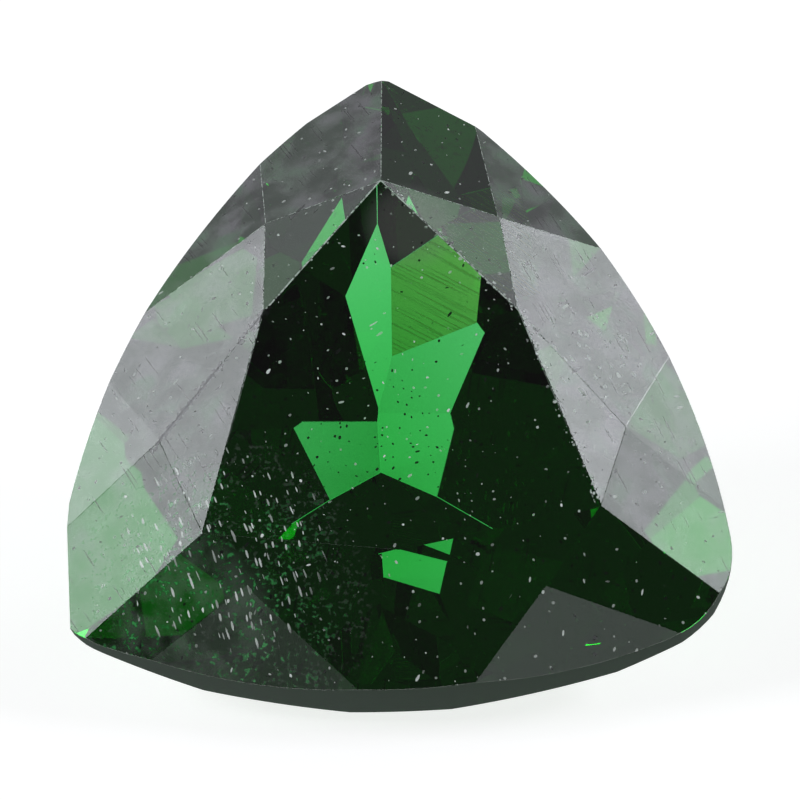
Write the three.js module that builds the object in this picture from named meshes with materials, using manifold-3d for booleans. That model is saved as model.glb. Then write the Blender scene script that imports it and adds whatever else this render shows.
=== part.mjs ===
import * as THREE from "three";
import { mergeVertices } from "three/addons/utils/BufferGeometryUtils.js";
import Module from "manifold-3d";

// A loose green garnet in a trillion cut, in millimetres. It is cut upright, with the table on top (+Z) and
// one corner towards +Y, and is then laid down on the large front facet of its underside.

// Girdle outline, seen from the table, with the corners in turn anticlockwise. Directions are in degrees
// from +X; reach is the distance from the axis to the corner before it is rounded.
const CORNERS = [
  { direction: 90, reach: 3.62, rounding: 0.77 },
  { direction: 209.4, reach: 3.62, rounding: 0.68 },
  { direction: 330, reach: 3.58, rounding: 0.89 },
];
// How far each side bows out beyond the straight line from its corner to the next.
const SIDE_BULGES = [0.71, 0.75, 0.73];
const SIDE_STEPS = 48;
const CORNER_STEPS = 12;

// Heights over the girdle's lower edge.
const TABLE_HEIGHT = 1.31;
const BLANK_DEPTH = 2.4;

// A facet is [tilt from the girdle plane, direction it faces, distance of its plane from the axis point at
// height 0]; tilt and direction are in degrees. Facets of one kind differ a little, as in a hand-cut stone.
const CROWN_FACETS = {
  // six narrow triangles around the table
  star: [
    [25.0, 139.0, 1.792],
    [23.2, 43.0, 1.763],
    [23.4, 20.0, 1.752],
    [22.0, -79.0, 1.76],
    [23.2, -97.0, 1.78],
    [22.6, 164.5, 1.721],
  ],
  // one large facet in the middle of each side
  side: [
    [35.4, 28.5, 1.891],
    [35.2, 153.5, 1.881],
    [35.8, -90.0, 1.926],
  ],
  // two halves of a kite at each corner
  kite: [
    [37.4, 124.5, 2.12],
    [36.6, 57.0, 2.102],
    [37.4, 3.5, 2.137],
    [36.6, -58.5, 2.203],
    [36.8, -117.5, 2.197],
    [36.4, -179.0, 2.094],
  ],
  // six steeper triangles that stand on the girdle
  girdle: [
    [45.0, 142.5, 2.139],
    [43.4, 45.0, 2.156],
    [42.2, 14.5, 2.136],
    [46.6, -73.0, 2.275],
    [44.4, -101.5, 2.178],
    [41.4, 168.0, 2.114],
  ],
};

// The stone rests on this facet, a large one that faces front.
const REST_FACET = [36.2, -92.5, 1.656];

const UNDERSIDE_FACETS = {
  rest: [REST_FACET],
  // two more facets run down to the point, one on each side of the top corner's ridge
  point: [
    [38.0, 157.2, 1.718],
    [35.3, 29.8, 1.628],
  ],
  // narrow facets beside the ridge that climbs to the top corner
  ridge: [
    [42.9, 143.8, 1.689],
    [36.3, 101.9, 1.873],
    [47.2, 121.2, 1.909],
    [45.8, 61.5, 1.852],
    [42.5, 50.3, 1.696],
    [38.5, 37.0, 1.615],
  ],
  // the rest of the left and right sides
  flank: [
    [40.1, 161.8, 1.713],
    [43.2, 152.2, 1.697],
    [43.9, 36.6, 1.647],
    [45.5, 42.0, 1.684],
    [41.9, 25.9, 1.571],
    [39.8, 21.5, 1.587],
  ],
  // steep facets that thin the girdle at the two front corners
  corner: [
    [45.0, 180.0, 1.82],
    [45.0, -138.0, 2.153],
    [45.0, -42.0, 2.145],
    [45.0, -5.0, 1.92],
  ],
  // low facets under the front of the girdle
  front: [
    [45.0, -90.0, 1.782],
    [45.0, -104.0, 1.808],
    [45.0, -76.0, 1.808],
    [45.0, -122.0, 1.97],
    [45.0, -58.0, 2.014],
  ],
};

// Larger than the stone in every direction.
const CUTTER_SIZE = 12;
const STONE_GREEN = 0x0e6b2c;

const wasm = await Module();
wasm.setup();

function polar(radius, degrees) {
  const angle = THREE.MathUtils.degToRad(degrees);
  return new THREE.Vector2(radius * Math.cos(angle), radius * Math.sin(angle));
}

// The circle through two corners that bows out by bulge between them; its centre lies on the inner side.
function sideCircle(start, end, bulge) {
  const chord = end.clone().sub(start);
  const halfChord = chord.length() / 2;
  const radius = (halfChord * halfChord + bulge * bulge) / (2 * bulge);
  const outward = new THREE.Vector2(chord.y, -chord.x).normalize();
  const middle = start.clone().add(end).multiplyScalar(0.5);
  return { centre: middle.addScaledVector(outward, bulge - radius), radius };
}

// Centre of the rounding circle that touches both sides from within, near the sharp corner.
function roundingCentre(before, after, rounding, corner) {
  const r1 = before.radius - rounding;
  const r2 = after.radius - rounding;
  const between = after.centre.clone().sub(before.centre);
  const gap = between.length();
  const along = (r1 * r1 - r2 * r2 + gap * gap) / (2 * gap);
  const across = Math.sqrt(r1 * r1 - along * along);
  const unit = between.normalize();
  const normal = new THREE.Vector2(-unit.y, unit.x);
  const foot = before.centre.clone().addScaledVector(unit, along);
  return [across, -across]
    .map((offset) => foot.clone().addScaledVector(normal, offset))
    .sort((a, b) => b.dot(corner) - a.dot(corner))[0];
}

// Points anticlockwise along a circle, without the last one.
function arcPoints(centre, radius, from, to, steps) {
  const start = from.clone().sub(centre).angle();
  let sweep = to.clone().sub(centre).angle() - start;
  if (sweep < 0) sweep += 2 * Math.PI;
  return Array.from({ length: steps }, (_, i) => {
    const angle = start + (sweep * i) / steps;
    return new THREE.Vector2(centre.x + radius * Math.cos(angle), centre.y + radius * Math.sin(angle));
  });
}

function girdleOutline() {
  const count = CORNERS.length;
  const corners = CORNERS.map((c) => polar(c.reach, c.direction));
  const sides = corners.map((c, i) => sideCircle(c, corners[(i + 1) % count], SIDE_BULGES[i]));
  const sideBefore = (i) => sides[(i + count - 1) % count];
  const rounds = CORNERS.map((c, i) => roundingCentre(sideBefore(i), sides[i], c.rounding, corners[i]));
  const touch = (side, centre) => centre.clone().sub(side.centre).setLength(side.radius).add(side.centre);
  return sides.flatMap((side, i) => {
    const next = (i + 1) % count;
    const start = touch(side, rounds[i]);
    const end = touch(side, rounds[next]);
    const nextStart = touch(sides[next], rounds[next]);
    return [
      ...arcPoints(side.centre, side.radius, start, end, SIDE_STEPS),
      ...arcPoints(rounds[next], CORNERS[next].rounding, end, nextStart, CORNER_STEPS),
    ];
  });
}

function toManifold(geometry) {
  const bare = new THREE.BufferGeometry().setAttribute("position", geometry.getAttribute("position"));
  if (geometry.index) bare.setIndex(geometry.index);
  const merged = mergeVertices(bare);
  return new wasm.Manifold(
    new wasm.Mesh({
      numProp: 3,
      vertProperties: merged.getAttribute("position").array,
      triVerts: new Uint32Array(merged.index.array),
    }),
  );
}

function toGeometry(solid) {
  const mesh = solid.getMesh();
  return new THREE.BufferGeometry()
    .setAttribute("position", new THREE.BufferAttribute(mesh.vertProperties, 3))
    .setIndex(new THREE.BufferAttribute(mesh.triVerts, 1));
}

// Outward normal of a facet; upward is 1 on the crown and -1 on the underside.
function facetNormal([tilt, direction], upward) {
  const lean = THREE.MathUtils.degToRad(tilt);
  const flat = polar(Math.sin(lean), direction);
  return new THREE.Vector3(flat.x, flat.y, upward * Math.cos(lean));
}

// A block that takes away everything beyond the facet's plane.
function cutter(facet, upward) {
  const normal = facetNormal(facet, upward);
  const block = new THREE.BoxGeometry(CUTTER_SIZE, CUTTER_SIZE, CUTTER_SIZE);
  block.translate(0, 0, CUTTER_SIZE / 2 + facet[2]);
  block.applyQuaternion(new THREE.Quaternion().setFromUnitVectors(new THREE.Vector3(0, 0, 1), normal));
  return toManifold(block);
}

function cutStone() {
  const blank = new THREE.ExtrudeGeometry(new THREE.Shape(girdleOutline()), {
    depth: TABLE_HEIGHT + BLANK_DEPTH,
    bevelEnabled: false,
  });
  blank.translate(0, 0, -BLANK_DEPTH);
  const crown = Object.values(CROWN_FACETS).flat().map((facet) => cutter(facet, 1));
  const underside = Object.values(UNDERSIDE_FACETS).flat().map((facet) => cutter(facet, -1));
  return [...crown, ...underside].reduce((stone, block) => stone.subtract(block), toManifold(blank));
}

// Turns the stone until the rest facet lies on the ground, with the origin under the middle of its box.
function layDown(geometry) {
  const down = new THREE.Vector3(0, 0, -1);
  geometry.applyQuaternion(new THREE.Quaternion().setFromUnitVectors(facetNormal(REST_FACET, -1), down));
  geometry.computeBoundingBox();
  const box = geometry.boundingBox;
  return geometry.translate(-(box.min.x + box.max.x) / 2, -(box.min.y + box.max.y) / 2, -box.min.z);
}

const stone = new THREE.Mesh(
  layDown(toGeometry(cutStone())),
  new THREE.MeshStandardMaterial({
    color: STONE_GREEN,
    roughness: 0.05,
    metalness: 0,
    transparent: true,
    opacity: 0.8,
    flatShading: true,
  }),
);
stone.name = "tsavorite_garnet";

const group = new THREE.Group();
group.name = "faceted_tsavorite_garnet";
group.add(stone);
export default group;
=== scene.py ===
import math

import bpy
from mathutils import Matrix, Quaternion, Vector


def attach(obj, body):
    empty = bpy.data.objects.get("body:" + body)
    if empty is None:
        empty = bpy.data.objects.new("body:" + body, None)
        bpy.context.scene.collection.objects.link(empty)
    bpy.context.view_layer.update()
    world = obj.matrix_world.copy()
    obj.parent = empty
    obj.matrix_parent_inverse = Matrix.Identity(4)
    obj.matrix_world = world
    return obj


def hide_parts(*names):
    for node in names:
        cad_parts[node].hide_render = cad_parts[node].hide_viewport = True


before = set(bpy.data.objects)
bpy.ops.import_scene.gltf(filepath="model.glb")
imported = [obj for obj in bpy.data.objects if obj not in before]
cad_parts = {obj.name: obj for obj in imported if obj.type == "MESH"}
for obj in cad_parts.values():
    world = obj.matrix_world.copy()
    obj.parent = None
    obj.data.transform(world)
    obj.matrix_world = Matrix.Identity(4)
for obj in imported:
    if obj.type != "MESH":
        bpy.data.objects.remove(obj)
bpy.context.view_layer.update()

MM = 0.001

CAMERA_AZIMUTH = -0.21
CAMERA_ELEVATION = 31.7
CAMERA_ROLL = -0.65
CAMERA_AIM = Vector((0.0248, 0.1683, 2.0606)) * MM
PICTURE_WIDTH = 7.227 * MM
CAMERA_DISTANCE = 0.2
# The Mix node has several inputs and outputs of the same names; these are the ones for colours.
MIX_BELOW, MIX_ABOVE, MIX_RESULT = 6, 7, 2


def upright_normal(tilt, direction):
    """Outward normal of an underside facet of the cut stone, before it is laid down."""
    lean, turn = math.radians(tilt), math.radians(direction)
    return Vector((
        math.sin(lean) * math.cos(turn),
        math.sin(lean) * math.sin(turn),
        -math.cos(lean),
    ))


# The stone lies on this facet: its tilt from the girdle plane and the direction that it faces, in degrees.
REST_FACET = (36.2, -92.5)
LAID_DOWN = upright_normal(*REST_FACET).rotation_difference(Vector((0, 0, -1)))
TABLE_NORMAL = LAID_DOWN @ Vector((0, 0, 1))
# Where the middle of the cut stone's girdle comes to lie, in millimetres.
STONE_MIDDLE = Vector((-0.02857, -0.08133, 1.656))

# Underside facets that look different from the rest, as (tilt, direction) in degrees. The first has polish
# lines and a painted olive tint, and the second a painted brown tint, on the light seen through them.
MARKED_FACETS = {
    "polish_lines": (42.5, 50.3),
    "brown_light_tint": (45.8, 61.5),
}
# Two directions belong to the same facet if their cosine is above this.
SAME_FACET = 0.9998

# Corners of loose triangles that lie this close are one corner.
WELD = 0.0005 * MM
# How wide the worn faces are along the table's edges, the other crown edges and the rest.
TABLE_WEAR = 0.014 * MM
CROWN_WEAR = 0.006 * MM
UNDERSIDE_WEAR = 0.007 * MM
# Faces that meet at less than the first angle are one facet, and edges of less than the second stay sharp.
FLAT_ANGLE = math.radians(0.3)
FACET_ANGLE = math.radians(2.6)
CUT_ACCURACY = 0.00001 * MM
SLIVER = 0.0006 * MM
# A plane laid on a true edge leaves no corner of the stone further outside it than this.
TOUCHING = 0.0003 * MM
# A face turned further than this from every facet is a worn edge.
UNWORN = math.cos(math.radians(0.6))
# The girdle's faces turn towards the table by less than this, and the side facets lean left or right by more
# than the second.
GIRDLE_SLOPE = 0.02
SIDE_SLOPE = 0.345

# Garnet: how it bends light and how much of it the stone takes away. Each colour fades at a rate per metre
# of the strength times one minus that colour here.
GARNET_IOR = 1.74
ABSORPTION_COLOUR = (0.036, 0.79, 0.273, 1)
ABSORPTION_STRENGTH = 1100
GIRDLE_ROUGHNESS = 1
GIRDLE_COVER = 0.6

SPECK_COLOUR = (0.92, 0.96, 0.93, 1)
GRAIN_COLOUR = (0.1, 0.6, 0.17, 1)
GRIME_COLOUR = (0.3, 0.3, 0.19, 1)
PIT_COLOUR = (0.012, 0.016, 0.013, 1)
WORN_COLOUR = (0.86, 0.94, 0.88, 1)
# The girdle's own dark green, darkened further as painted shade for the shadowed floor under the stone's
# front that the girdle mirrors.
GIRDLE_COLOUR_AND_PAINTED_SHADE = (0.005, 0.022, 0.01, 1)
HAZE_LILAC = (0.72, 0.66, 0.78, 1)
HAZE_GREEN = (0.26, 0.8, 0.36, 1)
# Painted tints on two underside facets: they stand in for the olive and the brown colour of the light seen
# through these facets.
OLIVE_LIGHT_TINT = (1, 0.58, 0.17, 1)
BROWN_LIGHT_TINT = (0.6, 0.42, 0.26, 1)

# Marks on the crown, laid out square to the table. Each kind is (the way it runs, places per millimetre
# along that way and across it, size as a share of a place, shares of places with a pale and with a dark
# mark, shift of the pattern).
SIDEWAYS = Vector((1, 0, 0))
DOWN_LEFT_SIDE = Vector((0.3, -0.77, -0.56))
DOWN_RIGHT_SIDE = Vector((0.45, -0.72, -0.53))
SPECKS_AND_PITS = (SIDEWAYS, (6, 6), 0.1, (0.24, 0.5), 3.7)
DUST_AND_CLOSE_PITS = (SIDEWAYS, (10, 10), 0.13, (0.18, 0.65), 11.3)
CHIPS = (SIDEWAYS, (24, 24), 0.44, (0.6, 0), 7.9)
NEEDLES = (DOWN_LEFT_SIDE, (8, 33), 0.36, (0.27, 0), 5.1)
DASHES = (DOWN_RIGHT_SIDE, (9, 20), 0.36, (0.4, 0), 8.3)
HAIRLINES = (DOWN_RIGHT_SIDE, (2.2, 60), 0.32, (0, 0.1), 2.3)
# The faintest mark of a kind, as a share of the strongest.
FAINTEST_MARK = 0.3
DUST_STRENGTH = 0.6
# A mark weaker than this keeps the colour of what lies round it, and so does a haze weaker than the second.
SEEN = 0.03
SEEN_HAZE = 0.01
# Grains take on their colour between these two strengths.
GRAIN_TINTING = (0.02, 0.1)

# Soft patterns that vary the marks, as how fine they are per millimetre.
BROAD_PATTERN = 2.5
COARSE_PATTERN = 3
FINE_PATTERN = 23
# Where each use of a soft pattern starts and where it is full, as values of the pattern.
BEND_RANGE = (0.2, 0.8)
TINT_RANGE = (0.42, 0.6)
PATCH_RANGE = (0.36, 0.68)
CHIP_RANGE = (0.38, 0.52)
DIRT_RANGE = (0.36, 0.5)
GRAIN_PATCH_RANGE = (0.36, 0.6)
GRAIN_RANGE = (0.55, 0.72)
GRIT_RANGE = (0.35, 0.62)
STREAK_RANGE = (0.5, 0.66)
# How much of the surface each kind of mark covers where it is strongest.
GRAIN_COVER = 0.55
GRIME_COVER = 0.09
WORN_COVER = 0.5
SIDE_HAZE_COVER = 0.14
FRONT_HAZE_COVER = 0.1
DIRT_COVER = 0.9
HAIRLINE_COVER = 0.3
POLISH_LINES_COVER = 0.3
MARK_ROUGHNESS = 0.6
# Added to the fine pattern on worn edges, so that they are pale everywhere, only more or less.
LEAST_PALE = 0.35
# The haze's colour is mixed in this much more strongly than the haze covers.
VEIL_STRENGTH = 5

# Where marks gather, as (point in millimetres, reach in millimetres).
NEEDLES_AT = (Vector((-1.6, -1.7, 1.65)), 1.15)
FRONT_HAZE_AT = (Vector((-1.95, -2.05, 1.2)), 0.95)
GRAINS_AT = (Vector((-1.75, -2.0, 1.3)), 1.6)
DASHES_AT = (Vector((1.7, -0.3, 2.78)), 0.6)
CLOSE_PITS_AT = (Vector((-0.3, -1.1, 2.52)), 0.85)
GRIME_AT = (Vector((0.15, 0.5, 3.72)), 0.5)
# Within this share of its reach a place has the full strength.
CORE = 0.45
# Marks thin out where that strength falls from the second of these to the first.
THINNING = (0.05, 0.4)
# Dirt lies along the crown edge on the line through these two points, this far to each side, and its
# sides are frayed by this much.
DIRTY_EDGE = (Vector((-1.2, -0.145, 3.195)), Vector((-2.158, -0.87, 2.307)))
DIRT_WIDTH = 0.028
DIRT_FRAY = 0.06
# Chipped table edges, as (direction they face, distance from the axis) on the cut stone.
CHIPPED_EDGES = ((43.0, 1.419), (20.0, 1.384))
# How far to each side of such an edge and how far below the table chips may lie. The table's height is over
# the middle of the girdle's lower edge.
CHIPPED_WIDTH = 0.0426
CHIPPED_DEPTH = 0.035
TABLE_HEIGHT = 1.31
# Edges are worn pale above these heights in millimetres, little at the first and fully at the second.
WORN_HEIGHTS = (2.3, 3.3)
POLISH_LINES_RUN = Vector((0.94, -0.14, -0.28))
POLISH_LINES_STRETCH = (1.1, 34, 34)

# The floor is a grey plate with a white glow of its own, so that it looks white. It ends a little in
# front of the stone, past the picture's edge.
FLOOR_SIZE = 1.2
FLOOR_FRONT = -4.0 * MM
# Air under the rest facet. Without it the facet would not mirror light inside the stone.
AIR_GAP = 0.01 * MM
# How often light may turn inside the stone before it is given up.
LIGHT_BOUNCES = 8
FLOOR_COLOUR = (0.4, 0.4, 0.4, 1)
FLOOR_GLOW = 0.8
DARK_ROOM = 0.065
PALE_BACKGROUND = 1.0

LAMP_DISTANCE = 0.3
# Each lamp is (azimuth from +X and elevation of its middle, degrees wide, degrees high, brightness). The
# mark lights are for the specks, haze and worn edges; they also light the girdle and the floor.
LAMPS = {
    "softbox_right_high": (38, 35, 14, 16, 3.6),
    "softbox_right_low": (22, 24, 26, 13, 3.1),
    "softbox_left_high": (145, 31, 12, 14, 3.05),
    "softbox_left_low": (153, 19, 8, 8, 3.6),
    "softbox_left_corner": (171, 24, 7, 7, 2.9),
    "top_light_right": (15, 54, 6, 5, 4.6),
    "top_light_left": (171, 50, 6, 6, 3.5),
    "fill_right": (42, 57, 8, 6, 1.6),
    "fill_left": (141, 50, 8, 6, 1.1),
    "backdrop_left_high": (117, 29, 14, 14, 0.64),
    "backdrop_left_low": (126, 14, 12, 14, 0.55),
    "backdrop_right_low": (61, 18, 14, 14, 0.6),
    "backdrop_right_high": (66, 33, 12, 10, 0.3),
    "edge_light_left_low": (-12, 11, 6, 8, 0.42),
    "edge_light_left": (-12, 18.7, 6, 7.4, 0.6),
    "edge_light_left_high": (-13, 26.5, 6, 8, 0.8),
    "edge_light_right": (176, 16, 5, 6, 0.8),
    "edge_light_right_low": (-175.5, 14.5, 5, 14, 0.5),
    "edge_light_front": (-72.7, 33.6, 3.2, 3, 0.42),
    "kite_light_left": (-96.6, 54.3, 3.4, 2.8, 0.28),
    "front_glow_right": (-72.7, 0.3, 4.4, 9.8, 0.46),
    "front_glow_left": (-82.5, 2.7, 9, 14, 0.33),
    "front_glow_low": (-64, -7, 9, 6, 0.16),
    "front_low_right": (-68, -15, 6, 6, 0.63),
    "front_low_left": (-106, -12, 5, 6, 0.25),
    "mark_light_left": (-162, 33, 26, 12, 16),
    "mark_light_right": (-9, 36, 20, 8, 17),
}
LAMP_TINT = (0.965, 0.99, 1.04)


def place_camera():
    data = bpy.data.cameras.new("camera")
    camera = bpy.data.objects.new("camera", data)
    bpy.context.scene.collection.objects.link(camera)
    azimuth = math.radians(CAMERA_AZIMUTH)
    elevation = math.radians(CAMERA_ELEVATION)
    back = Vector((
        math.sin(azimuth) * math.cos(elevation),
        -math.cos(azimuth) * math.cos(elevation),
        math.sin(elevation),
    ))
    roll = Quaternion((0, 0, 1), math.radians(CAMERA_ROLL))
    camera.rotation_mode = "QUATERNION"
    camera.rotation_quaternion = (-back).to_track_quat("-Z", "Y") @ roll
    camera.location = CAMERA_AIM + back * CAMERA_DISTANCE
    # No perspective could be measured in the photograph, so the camera has none.
    data.type = "ORTHO"
    data.ortho_scale = PICTURE_WIDTH
    bpy.context.scene.camera = camera


def turned_to(run, facing):
    """The turn that brings run, laid flat on the plane facing that way, to X and the plane's front to Z."""
    flat = (run - facing * run.dot(facing)).normalized()
    return Matrix((flat, facing.cross(flat), facing))


class Recipe:
    """A material's nodes, joined as they are added."""

    def __init__(self, name):
        self.material = bpy.data.materials.new(name)
        self.material.use_nodes = True
        self.nodes = self.material.node_tree.nodes
        self.links = self.material.node_tree.links
        self.surface = self.nodes["Principled BSDF"]
        self.output = self.nodes["Material Output"]
        self.place = self.nodes.new("ShaderNodeTexCoord").outputs["Object"]
        self.in_mm = self.scaled(1 / MM)
        self.broad = self.clouds(self.in_mm, BROAD_PATTERN, detail=0)
        self.bend = self.between(self.broad, *BEND_RANGE)

    def feed(self, socket, value):
        if isinstance(value, bpy.types.NodeSocket):
            self.links.new(value, socket)
        else:
            socket.default_value = value

    def sum(self, operation, *values):
        node = self.nodes.new("ShaderNodeMath")
        node.operation = operation
        for socket, value in zip(node.inputs, values):
            self.feed(socket, value)
        return node.outputs[0]

    def scaled(self, factor):
        node = self.nodes.new("ShaderNodeVectorMath")
        node.operation = "SCALE"
        self.feed(node.inputs[0], self.place)
        node.inputs["Scale"].default_value = factor
        return node.outputs[0]

    def move(self, turned, stretch, shift=(0, 0, 0)):
        """The place on the piece in millimetres, turned, shifted and then stretched."""
        turn = self.nodes.new("ShaderNodeMapping")
        turn.inputs["Location"].default_value = shift
        turn.inputs["Rotation"].default_value = turned.to_euler()
        self.feed(turn.inputs["Vector"], self.in_mm)
        fit = self.nodes.new("ShaderNodeVectorMath")
        fit.operation = "MULTIPLY"
        self.feed(fit.inputs[0], turn.outputs[0])
        fit.inputs[1].default_value = stretch
        return fit.outputs[0]

    def clouds(self, vector, scale, detail=2):
        """A soft pattern that lies mostly between 0.3 and 0.7."""
        node = self.nodes.new("ShaderNodeTexNoise")
        self.feed(node.inputs["Vector"], vector)
        node.inputs["Scale"].default_value = scale
        node.inputs["Detail"].default_value = detail
        return node.outputs["Fac"]

    def between(self, value, low, high):
        node = self.nodes.new("ShaderNodeMapRange")
        node.interpolation_type = "SMOOTHSTEP"
        self.feed(node.inputs["Value"], value)
        node.inputs["From Min"].default_value = low
        node.inputs["From Max"].default_value = high
        return node.outputs["Result"]

    def spots(self, kind, curled=True):
        """Pale and dark marks of one kind, of mixed sizes and strengths, laid out square to the table."""
        run, (along, across), size, (pale_share, dark_share), shift = kind
        place = self.move(turned_to(run, TABLE_NORMAL), (along, across, 0), (shift, shift, 0))
        if curled:
            place = self.curl(place)
        cells = self.nodes.new("ShaderNodeTexVoronoi")
        cells.voronoi_dimensions = "2D"
        self.feed(cells.inputs["Vector"], place)
        cells.inputs["Scale"].default_value = 1
        kinds = self.nodes.new("ShaderNodeSeparateColor")
        self.feed(kinds.inputs[0], cells.outputs["Color"])
        largest = self.sum("MULTIPLY", kinds.outputs["Green"], size)
        strength = self.sum("MULTIPLY_ADD", kinds.outputs["Blue"], 1 - FAINTEST_MARK, FAINTEST_MARK)
        marks = limited(self, strength, self.sum("LESS_THAN", cells.outputs["Distance"], largest))
        pale = self.sum("LESS_THAN", kinds.outputs["Red"], pale_share)
        dark = self.sum("GREATER_THAN", kinds.outputs["Red"], 1 - dark_share)
        return limited(self, marks, pale), limited(self, marks, dark)

    def curl(self, place):
        """Bends the rows that marks lie in a little, so that long ones curve."""
        moved = self.nodes.new("ShaderNodeVectorMath")
        moved.operation = "ADD"
        self.feed(moved.inputs[0], place)
        self.feed(moved.inputs[1], self.bend)
        return moved.outputs[0]

    def beside(self, direction, distance, width):
        """1 within width millimetres to each side of a straight edge of the table, and 0 elsewhere."""
        turn = math.radians(direction)
        across = LAID_DOWN @ Vector((math.cos(turn), math.sin(turn), 0))
        gap = self.sum("SUBTRACT", self.reach(across), distance)
        return self.sum("LESS_THAN", self.sum("ABSOLUTE", gap), width)

    def reach(self, direction):
        """How far the place lies that way from the middle of the stone, in millimetres."""
        node = self.nodes.new("ShaderNodeVectorMath")
        node.operation = "DOT_PRODUCT"
        self.feed(node.inputs[0], self.in_mm)
        node.inputs[1].default_value = direction
        return self.sum("SUBTRACT", node.outputs["Value"], direction.dot(STONE_MIDDLE))

    def from_line(self, start, end):
        """Distance in millimetres from the straight line through two points."""
        run = (end - start).normalized()
        from_start, along, foot, away = (self.nodes.new("ShaderNodeVectorMath") for _ in range(4))
        from_start.operation, along.operation = "SUBTRACT", "DOT_PRODUCT"
        foot.operation, away.operation = "SCALE", "DISTANCE"
        self.feed(from_start.inputs[0], self.in_mm)
        from_start.inputs[1].default_value = start
        self.feed(along.inputs[0], from_start.outputs[0])
        along.inputs[1].default_value = run
        foot.inputs[0].default_value = run
        self.feed(foot.inputs["Scale"], along.outputs["Value"])
        self.feed(away.inputs[0], from_start.outputs[0])
        self.feed(away.inputs[1], foot.outputs[0])
        return away.outputs["Value"]

    def height(self):
        parts = self.nodes.new("ShaderNodeSeparateXYZ")
        self.feed(parts.inputs[0], self.in_mm)
        return parts.outputs["Z"]

    def near(self, point, reach):
        """1 at the point, falling to 0 at reach millimetres from it."""
        away = self.nodes.new("ShaderNodeVectorMath")
        away.operation = "DISTANCE"
        self.feed(away.inputs[0], self.in_mm)
        away.inputs[1].default_value = point
        return self.sum("SUBTRACT", 1, self.between(away.outputs["Value"], reach * CORE, reach))

    def marked(self, name):
        node = self.nodes.new("ShaderNodeAttribute")
        node.attribute_name = name
        return node.outputs["Fac"]

    def blend(self, share, below, above):
        node = self.nodes.new("ShaderNodeMix")
        node.data_type = "RGBA"
        self.feed(node.inputs["Factor"], share)
        self.feed(node.inputs[MIX_BELOW], below)
        self.feed(node.inputs[MIX_ABOVE], above)
        return node.outputs[MIX_RESULT]


def limited(recipe, marks, *shares):
    for share in shares:
        marks = recipe.sum("MULTIPLY", marks, share)
    return marks


def strongest(recipe, first, *others):
    for other in others:
        first = recipe.sum("MAXIMUM", first, other)
    return first


def gathered(recipe, marks, point, reach):
    """Keeps the marks near a point and thins them out away from it."""
    return limited(recipe, marks, recipe.between(recipe.near(point, reach), *THINNING))


def white_marks(recipe, crown, coarse, specks, dust):
    """Specks and dust all over the crown, needles at the lower left, dashes on the right, chips on edges."""
    needles = gathered(recipe, recipe.spots(NEEDLES)[0], *NEEDLES_AT)
    dashes = gathered(recipe, recipe.spots(DASHES)[0], *DASHES_AT)
    at_edges = strongest(recipe, *(recipe.beside(*edge, CHIPPED_WIDTH) for edge in CHIPPED_EDGES))
    at_table = recipe.sum("GREATER_THAN", recipe.reach(TABLE_NORMAL), TABLE_HEIGHT - CHIPPED_DEPTH)
    worn_places = recipe.between(coarse, *CHIP_RANGE)
    chips = limited(recipe, recipe.spots(CHIPS)[0], at_edges, at_table, worn_places)
    dust = limited(recipe, dust, DUST_STRENGTH)
    return limited(recipe, strongest(recipe, specks, dust, needles, dashes, chips), crown)


def dark_marks(recipe, crown, coarse, fine, pits, close_pits):
    """Pits, close together over the middle of the table, hairline scratches, and a line of dirt."""
    close = gathered(recipe, close_pits, *CLOSE_PITS_AT)
    hairlines = recipe.spots(HAIRLINES, curled=False)[1]
    hairlines = limited(recipe, hairlines, recipe.marked("side_facet"), HAIRLINE_COVER)
    fray = recipe.sum("MULTIPLY_ADD", fine, 2 * DIRT_FRAY, -DIRT_FRAY)
    away = recipe.sum("ADD", recipe.from_line(*DIRTY_EDGE), fray)
    dirt = recipe.sum("SUBTRACT", 1, recipe.between(away, 0, DIRT_WIDTH))
    dirt = limited(recipe, dirt, recipe.between(coarse, *DIRT_RANGE), DIRT_COVER)
    return limited(recipe, strongest(recipe, pits, close, hairlines, dirt), crown)


def polish_lines(recipe):
    """Fine uneven lines that run one way over one facet of the underside."""
    facing = LAID_DOWN @ upright_normal(*MARKED_FACETS["polish_lines"])
    along = recipe.move(turned_to(POLISH_LINES_RUN, facing), POLISH_LINES_STRETCH)
    streaks = recipe.between(recipe.clouds(along, 1, detail=1), *STREAK_RANGE)
    return limited(recipe, streaks, recipe.marked("polish_lines"), POLISH_LINES_COVER)


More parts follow.
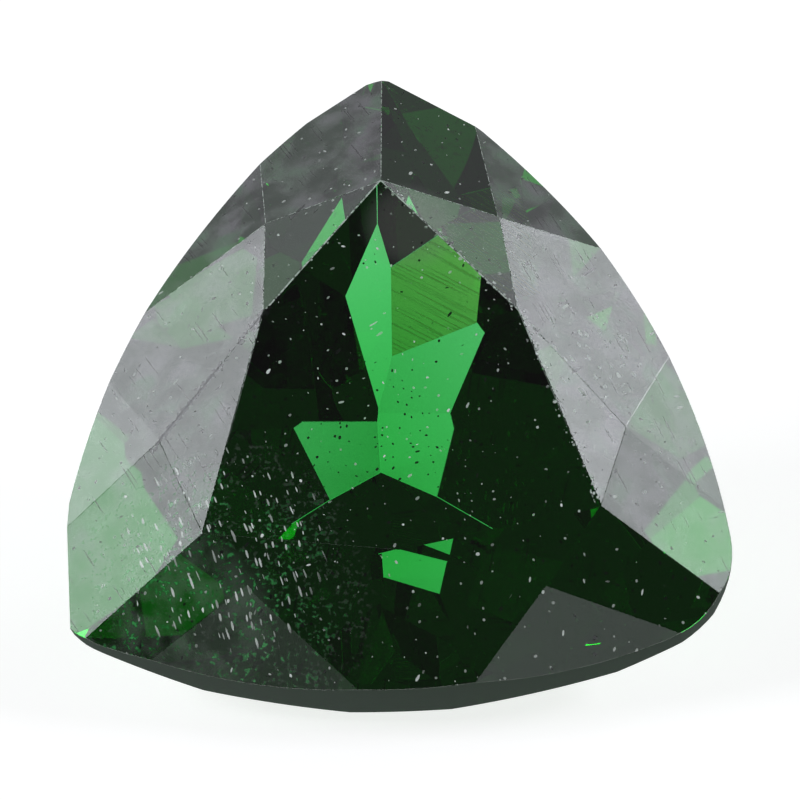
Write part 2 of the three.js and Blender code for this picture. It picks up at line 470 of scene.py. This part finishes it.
def garnet_material():
    recipe = Recipe("garnet")
    crown = recipe.marked("crown")
    girdle = recipe.marked("girdle")
    worn_edge = recipe.marked("worn_edge")

    coarse = recipe.clouds(recipe.in_mm, COARSE_PATTERN, detail=3)
    fine = recipe.clouds(recipe.in_mm, FINE_PATTERN, detail=1)
    specks, pits = recipe.spots(SPECKS_AND_PITS)
    dust, close_pits = recipe.spots(DUST_AND_CLOSE_PITS)
    white = white_marks(recipe, crown, coarse, specks, dust)
    dark = dark_marks(recipe, crown, coarse, fine, pits, close_pits)
    line = polish_lines(recipe)
    grains = limited(recipe, recipe.between(fine, *GRAIN_RANGE), recipe.between(coarse, *GRAIN_PATCH_RANGE))
    grains = limited(recipe, grains, recipe.near(*GRAINS_AT), crown, GRAIN_COVER)
    grime = limited(recipe, recipe.near(*GRIME_AT), crown, GRIME_COVER)
    grit = recipe.sum("ADD", recipe.between(fine, *GRIT_RANGE), LEAST_PALE)
    pale = limited(recipe, recipe.between(recipe.height(), *WORN_HEIGHTS), grit)
    # The underside's worn edges stay clear, so that they bend the light instead of blocking it.
    worn = limited(recipe, worn_edge, crown, pale, WORN_COVER)
    # The side facets and the lower left are mottled with a thin haze.
    patches = recipe.between(coarse, *PATCH_RANGE)
    side_haze = limited(recipe, patches, recipe.marked("side_facet"), SIDE_HAZE_COVER)
    front_haze = limited(recipe, patches, recipe.near(*FRONT_HAZE_AT), crown, FRONT_HAZE_COVER)
    haze = strongest(recipe, side_haze, front_haze, grime)

    # How much of the surface is not clear.
    cover = strongest(recipe, haze, worn, limited(recipe, girdle, GIRDLE_COVER), white, dark, line, grains)
    recipe.feed(recipe.surface.inputs["Transmission Weight"], recipe.sum("SUBTRACT", 1, cover))

    # Painted tints on the light through the two marked underside facets: olive on the one with polish lines,
    # and brown on the other.
    clear = recipe.blend(recipe.marked("polish_lines"), (1, 1, 1, 1), OLIVE_LIGHT_TINT)
    clear = recipe.blend(recipe.marked("brown_light_tint"), clear, BROWN_LIGHT_TINT)
    tints = recipe.between(recipe.broad, *TINT_RANGE)
    # The haze at the lower left is green all over.
    tints = strongest(recipe, tints, recipe.sum("GREATER_THAN", front_haze, SEEN_HAZE))
    veil = recipe.blend(tints, HAZE_LILAC, HAZE_GREEN)
    veil = recipe.blend(recipe.sum("GREATER_THAN", grime, SEEN_HAZE), veil, GRIME_COLOUR)
    colour = recipe.blend(limited(recipe, haze, VEIL_STRENGTH), clear, veil)
    # The girdle's dark green is partly its own colour and partly painted shade.
    colour = recipe.blend(girdle, colour, GIRDLE_COLOUR_AND_PAINTED_SHADE)
    colour = recipe.blend(recipe.sum("GREATER_THAN", worn, SEEN), colour, WORN_COLOUR)
    colour = recipe.blend(recipe.between(grains, *GRAIN_TINTING), colour, GRAIN_COLOUR)
    colour = recipe.blend(recipe.sum("GREATER_THAN", white, SEEN), colour, SPECK_COLOUR)
    colour = recipe.blend(recipe.sum("GREATER_THAN", dark, SEEN), colour, PIT_COLOUR)
    recipe.feed(recipe.surface.inputs["Base Color"], colour)

    marks = limited(recipe, strongest(recipe, white, worn), MARK_ROUGHNESS)
    rough = strongest(recipe, limited(recipe, girdle, GIRDLE_ROUGHNESS), marks)
    recipe.feed(recipe.surface.inputs["Roughness"], rough)
    recipe.surface.inputs["IOR"].default_value = GARNET_IOR

    body = recipe.nodes.new("ShaderNodeVolumeAbsorption")
    body.inputs["Color"].default_value = ABSORPTION_COLOUR
    body.inputs["Density"].default_value = ABSORPTION_STRENGTH
    recipe.links.new(body.outputs["Volume"], recipe.output.inputs["Volume"])
    return recipe.material


def mark_faces(mesh, name, chosen):
    """Keeps which faces are chosen as a number on each face, for the material to read."""
    layer = mesh.attributes.new(name, "FLOAT", "FACE")
    for face in mesh.polygons:
        layer.data[face.index].value = float(chosen(face))


def worn_planes(mesh):
    """A shallow cut along each edge where two facets meet, as (point, direction) of its plane.

    The small steps round the girdle are left, because they stand for one curved wall. An edge is also left
    where its plane would cut the stone elsewhere, because that could take a slice off a whole facet.
    """
    faces_of = {}
    for face in mesh.polygons:
        for key in face.edge_keys:
            faces_of.setdefault(key, []).append(face)
    planes = []
    for key, (one, other) in sorted(faces_of.items()):
        angle = one.normal.angle(other.normal)
        if angle < FACET_ANGLE or (on_girdle(one) and on_girdle(other)):
            continue
        outward = (one.normal + other.normal).normalized()
        corner = mesh.vertices[key[0]].co
        if max((vertex.co - corner).dot(outward) for vertex in mesh.vertices) > TOUCHING:
            continue
        depth = wear_width(one, other) / 2 * math.tan(angle / 2)
        planes.append((corner - outward * depth, outward))
    return planes


def wear_width(one, other):
    if not (on_crown(one) and on_crown(other)):
        return UNDERSIDE_WEAR
    return TABLE_WEAR if on_table(one) or on_table(other) else CROWN_WEAR


def on_table(face):
    return face.normal.dot(TABLE_NORMAL) > SAME_FACET


def on_crown(face):
    return face.normal.dot(TABLE_NORMAL) > GIRDLE_SLOPE


def on_side(face):
    """Crown facets that face left or right, not front or back, and not the table."""
    return on_crown(face) and abs(face.normal.x) > SIDE_SLOPE


def on_girdle(face):
    return abs(face.normal.dot(TABLE_NORMAL)) < GIRDLE_SLOPE


def wear_edges(stone):
    """Takes the sharpness off the facet edges and marks the narrow faces that this leaves."""
    bpy.ops.object.mode_set(mode="EDIT")
    bpy.ops.mesh.select_all(action="SELECT")
    bpy.ops.mesh.remove_doubles(threshold=WELD)
    bpy.ops.mesh.dissolve_limited(angle_limit=FLAT_ANGLE)
    bpy.ops.object.mode_set(mode="OBJECT")
    facets = [face.normal.copy() for face in stone.data.polygons]
    planes = worn_planes(stone.data)
    bpy.ops.object.mode_set(mode="EDIT")
    for point, outward in planes:
        bpy.ops.mesh.select_all(action="SELECT")
        bpy.ops.mesh.bisect(
            plane_co=point, plane_no=outward, use_fill=True, clear_outer=True, threshold=CUT_ACCURACY
        )
    # Where cuts meet, slivers too thin to see are left, and closing them up keeps the stone whole.
    bpy.ops.mesh.select_all(action="SELECT")
    bpy.ops.mesh.dissolve_degenerate(threshold=SLIVER)
    bpy.ops.mesh.remove_doubles(threshold=SLIVER)
    bpy.ops.object.mode_set(mode="OBJECT")
    mark_faces(
        stone.data, "worn_edge", lambda face: max(map(face.normal.dot, facets)) < UNWORN
    )


def dress_stone():
    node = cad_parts["tsavorite_garnet"]
    stone = bpy.data.objects.new("cut_stone", node.data.copy())
    bpy.context.scene.collection.objects.link(stone)
    bpy.ops.object.select_all(action="DESELECT")
    stone.select_set(True)
    bpy.context.view_layer.objects.active = stone
    bpy.ops.mesh.customdata_custom_splitnormals_clear()
    bpy.ops.object.shade_flat()
    wear_edges(stone)
    mark_faces(stone.data, "girdle", on_girdle)
    mark_faces(stone.data, "crown", on_crown)
    mark_faces(stone.data, "side_facet", on_side)
    for name, facet in MARKED_FACETS.items():
        facing = LAID_DOWN @ upright_normal(*facet)
        mark_faces(stone.data, name, lambda face: face.normal.dot(facing) > SAME_FACET)
    stone.data.materials.clear()
    stone.data.materials.append(garnet_material())
    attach(stone, "root")
    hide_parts("tsavorite_garnet")


def lay_floor():
    bpy.ops.object.select_all(action="DESELECT")
    middle = (0, FLOOR_FRONT + FLOOR_SIZE / 2, -AIR_GAP)
    bpy.ops.mesh.primitive_plane_add(size=FLOOR_SIZE, location=middle)
    floor = bpy.context.object
    floor.name = "floor"
    bpy.ops.object.transform_apply(location=True, rotation=True, scale=True)
    material = bpy.data.materials.new("pale_floor")
    material.use_nodes = True
    surface = material.node_tree.nodes["Principled BSDF"]
    surface.inputs["Base Color"].default_value = FLOOR_COLOUR
    surface.inputs["Roughness"].default_value = 1
    surface.inputs["Specular IOR Level"].default_value = 0
    surface.inputs["Emission Color"].default_value = (1, 1, 1, 1)
    surface.inputs["Emission Strength"].default_value = FLOOR_GLOW
    floor.data.materials.append(material)


def hang_lamp(name, azimuth, elevation, wide, high, brightness):
    width = 2 * LAMP_DISTANCE * math.tan(math.radians(wide / 2))
    height = 2 * LAMP_DISTANCE * math.tan(math.radians(high / 2))
    data = bpy.data.lights.new(name, "AREA")
    data.shape = "RECTANGLE"
    data.size = width
    data.size_y = height
    data.color = LAMP_TINT
    # The power that gives the lamp's face this brightness, whatever its size.
    data.energy = brightness * math.pi * width * height
    lamp = bpy.data.objects.new(name, data)
    bpy.context.scene.collection.objects.link(lamp)
    turn, rise = math.radians(azimuth), math.radians(elevation)
    towards = Vector((
        math.cos(turn) * math.cos(rise),
        math.sin(turn) * math.cos(rise),
        math.sin(rise),
    ))
    lamp.location = CAMERA_AIM + towards * LAMP_DISTANCE
    lamp.rotation_mode = "QUATERNION"
    lamp.rotation_quaternion = (-towards).to_track_quat("-Z", "Y")
    lamp.visible_camera = False


def light_room():
    """The room is dark where the stone mirrors it, and pale where the camera looks past the floor."""
    world = bpy.data.worlds.new("room")
    bpy.context.scene.world = world
    world.use_nodes = True
    nodes = world.node_tree.nodes
    links = world.node_tree.links
    background = nodes["Background"]
    seen = nodes.new("ShaderNodeLightPath")
    level = nodes.new("ShaderNodeMapRange")
    level.inputs["To Min"].default_value = DARK_ROOM
    level.inputs["To Max"].default_value = PALE_BACKGROUND
    links.new(seen.outputs["Is Camera Ray"], level.inputs["Value"])
    links.new(level.outputs["Result"], background.inputs["Color"])
    for name, lamp in LAMPS.items():
        hang_lamp(name, *lamp)


def set_light_paths():
    scene = bpy.context.scene
    # Another pattern of samples leaves a fine maze on the bright facets.
    scene.cycles.sampling_pattern = "TABULATED_SOBOL"
    scene.view_settings.view_transform = "Standard"
    scene.cycles.max_bounces = LIGHT_BOUNCES
    scene.cycles.transmission_bounces = LIGHT_BOUNCES
    scene.cycles.glossy_bounces = LIGHT_BOUNCES


place_camera()
dress_stone()
lay_floor()
light_room()
set_light_paths()
